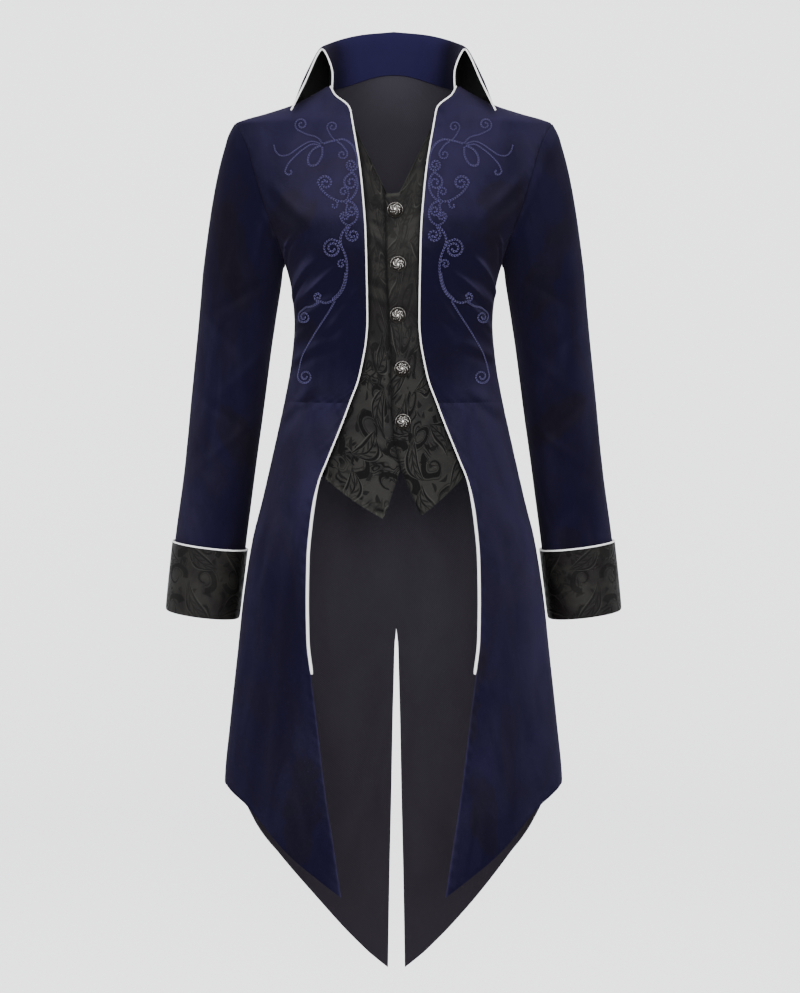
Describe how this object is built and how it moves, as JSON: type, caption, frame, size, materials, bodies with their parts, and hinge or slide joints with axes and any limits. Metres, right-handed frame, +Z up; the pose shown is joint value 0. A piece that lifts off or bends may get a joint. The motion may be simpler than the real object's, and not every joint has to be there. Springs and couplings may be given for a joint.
{
  "type": "tailcoat",
  "caption": "Velvet tailcoat with a turned-down collar, cutaway fronts over a false brocade waistcoat, turned-back cuffs, corded edges and two pointed tails.",
  "frame": {"origin": "middle of the neck, level with the inner ends of the shoulder seams, where the wearer's shoulders carry the coat", "axes": "+Z up, the coat faces -Y, +X is the wearer's left"},
  "size_m": [0.5718, 0.2654, 1.2047],
  "materials": {
    "velvet": "short-pile navy velvet",
    "lining": "smooth dark lining twill",
    "brocade": "black brocade with a raised figure",
    "cord": "twisted white cord",
    "metal": "antique silver with dark recesses"
  },
  "bodies": {
    "root": {"front_bodice_left": "velvet", "front_bodice_right": "velvet", "front_skirt_left": "velvet", "front_skirt_right": "velvet", "back_left": "velvet", "back_right": "velvet", "back_lining_left": "lining", "back_lining_right": "lining", "collar": "velvet", "top_sleeve_left": "velvet", "top_sleeve_right": "velvet", "under_sleeve_left": "velvet", "under_sleeve_right": "velvet", "cuff_left": "brocade", "cuff_right": "brocade", "waistcoat_left": "brocade", "waistcoat_right": "brocade", "front_cord_left": "cord", "front_cord_right": "cord", "collar_cord_left": "cord", "collar_cord_right": "cord", "cuff_cord_left": "cord", "cuff_cord_right": "cord", "button_1": "metal", "button_2": "metal", "button_3": "metal", "button_4": "metal", "button_5": "metal"}
  },
  "joints": []
}
